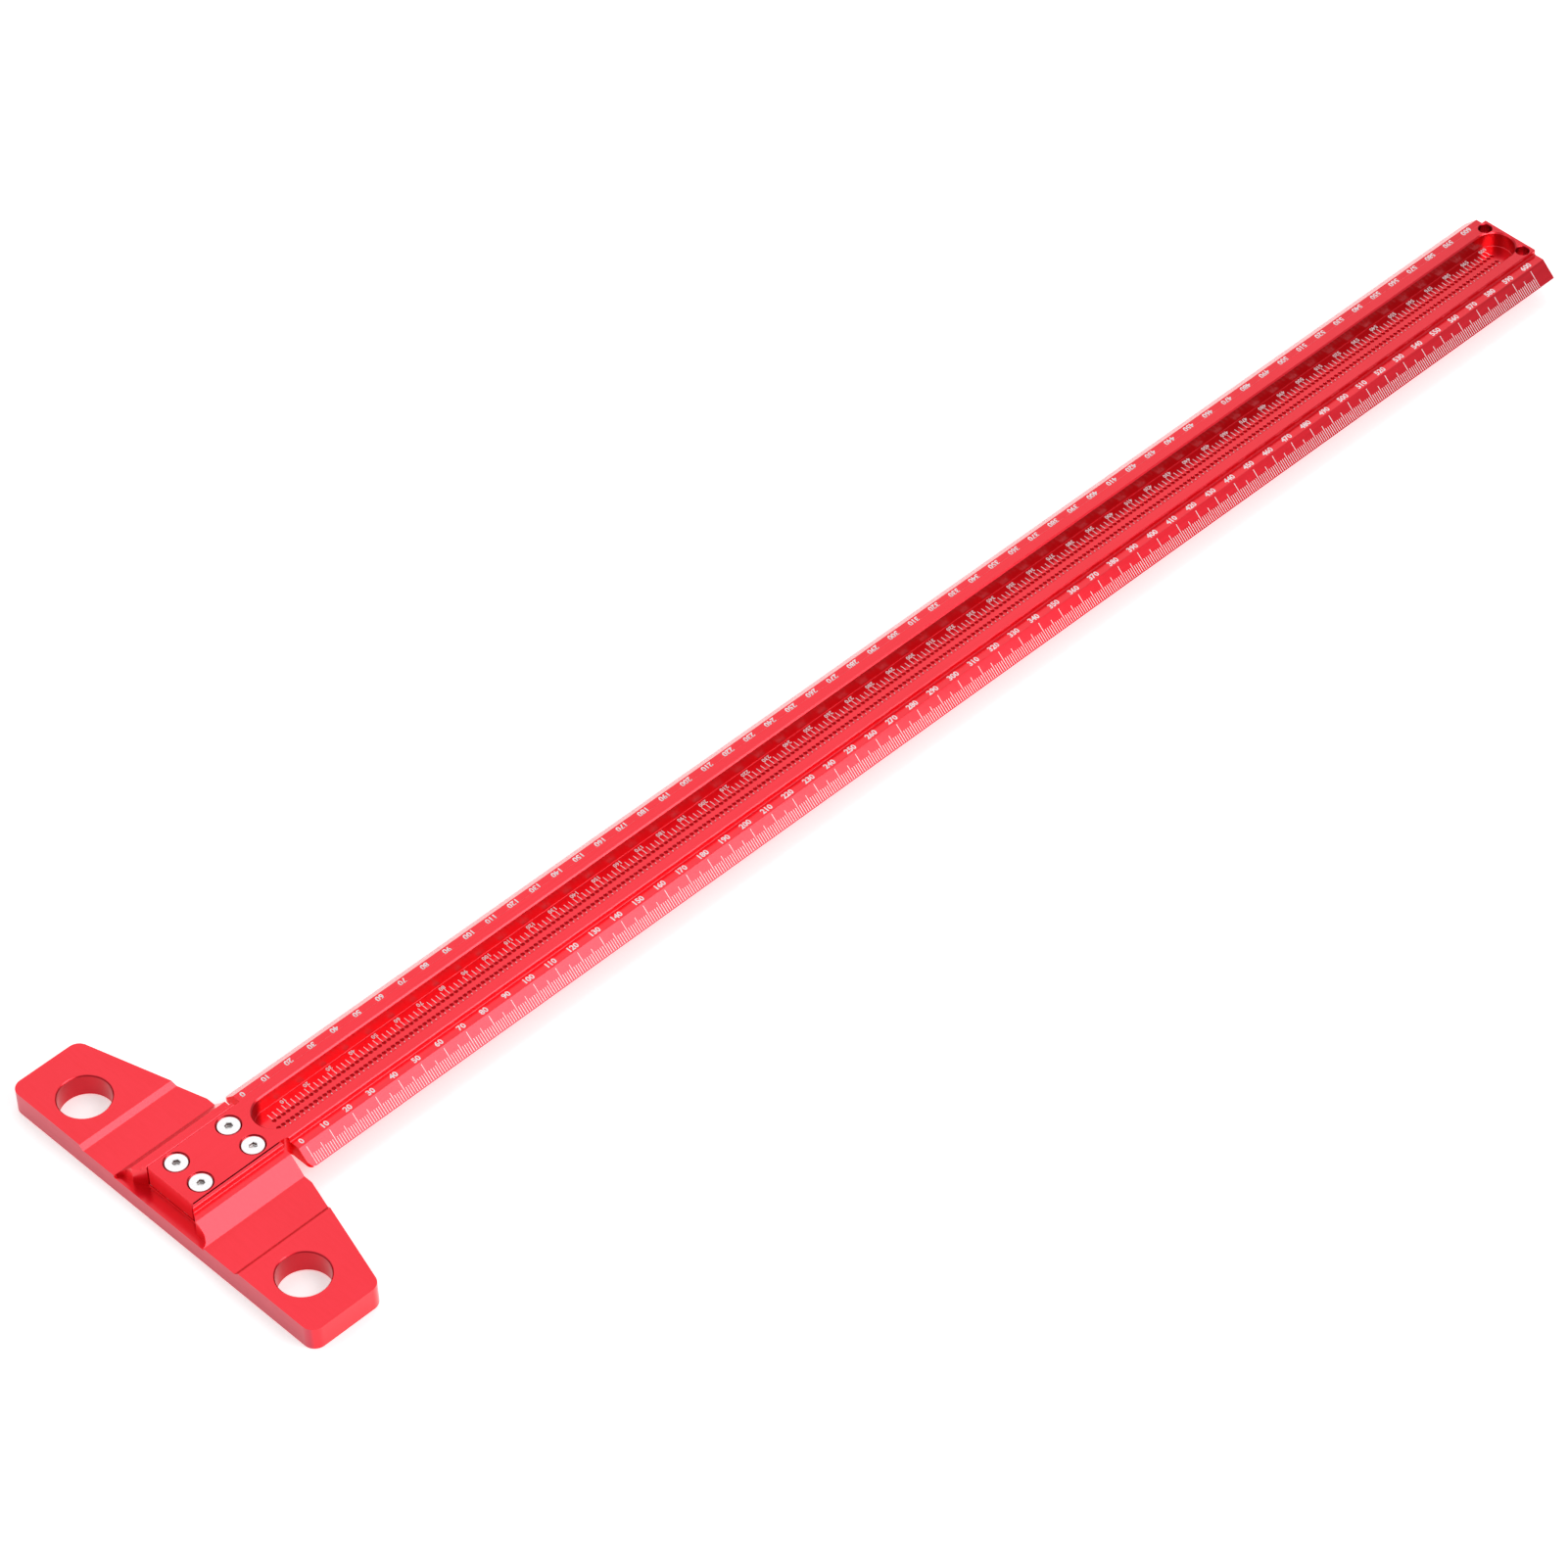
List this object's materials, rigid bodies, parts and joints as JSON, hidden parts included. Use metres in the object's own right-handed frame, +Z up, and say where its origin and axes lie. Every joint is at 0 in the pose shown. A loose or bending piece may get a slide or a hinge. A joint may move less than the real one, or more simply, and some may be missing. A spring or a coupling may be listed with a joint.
{
  "type": "t square",
  "caption": "Flat T-square: a long bevelled graduated blade with a central pocket, screwed into a wide trapezoidal head with round finger holes.",
  "frame": {"origin": "under the middle of the whole object, at the height of the head's underside", "axes": "+Y along the blade away from the head, +X across the blade along the head, +Z up out of the graduated face"},
  "size_m": [0.1504, 0.6568, 0.0159],
  "materials": {
    "head_metal": "red anodised, satin",
    "blade_metal": "red anodised, satin, white graduations",
    "screw_steel": "bright plated steel"
  },
  "bodies": {
    "root": {"head": "head_metal", "blade": "blade_metal", "screw_1": "screw_steel", "screw_2": "screw_steel", "screw_3": "screw_steel", "screw_4": "screw_steel"}
  },
  "joints": []
}
